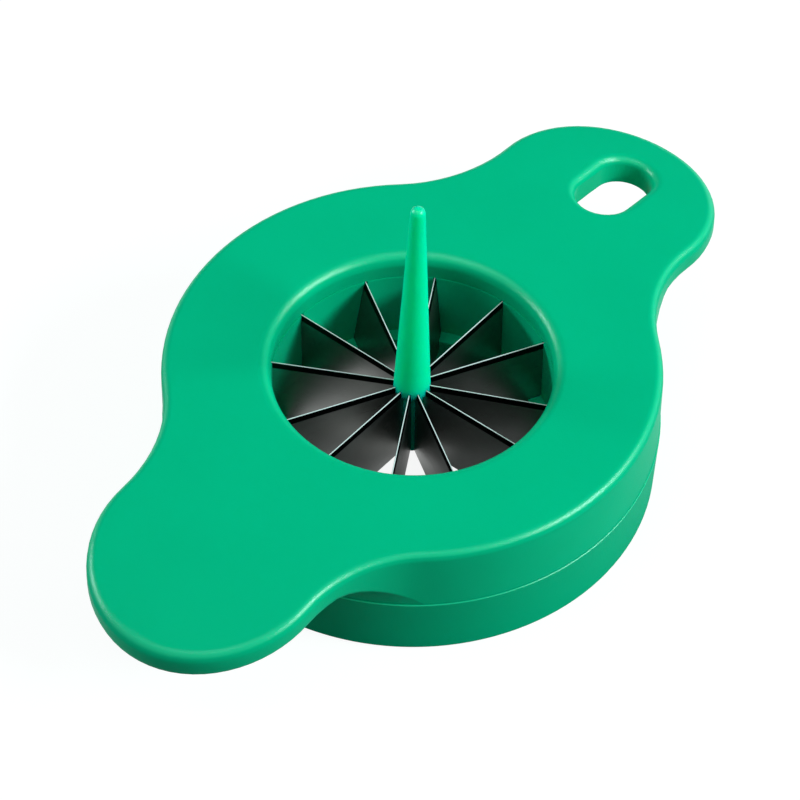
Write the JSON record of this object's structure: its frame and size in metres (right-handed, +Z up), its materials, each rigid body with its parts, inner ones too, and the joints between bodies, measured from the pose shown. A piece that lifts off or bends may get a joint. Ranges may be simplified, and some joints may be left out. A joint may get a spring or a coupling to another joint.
{
  "type": "radial blade vegetable shredder",
  "caption": "Hand-held vegetable shredder: radial steel blades around a centre spike in a round moulded body, with a handle on either side and a hanging slot.",
  "frame": {"origin": "middle of the base, at the blade ring's axis", "axes": "+X along the handles towards the hanging slot, +Z up along the spike"},
  "size_m": [0.1196, 0.0706, 0.0512],
  "materials": {
    "upper_plastic": "satin moulded plastic, green",
    "lower_plastic": "satin moulded plastic, green",
    "spike_plastic": "semi-gloss moulded plastic, green",
    "blade_steel": "satin blade steel with a bright ground edge"
  },
  "bodies": {
    "root": {"upper_body": "upper_plastic", "lower_ring": "lower_plastic", "spike": "spike_plastic", "blade_01": "blade_steel", "blade_02": "blade_steel", "blade_03": "blade_steel", "blade_04": "blade_steel", "blade_05": "blade_steel", "blade_06": "blade_steel", "blade_07": "blade_steel", "blade_08": "blade_steel", "blade_09": "blade_steel", "blade_10": "blade_steel", "blade_11": "blade_steel", "blade_12": "blade_steel"}
  },
  "joints": []
}
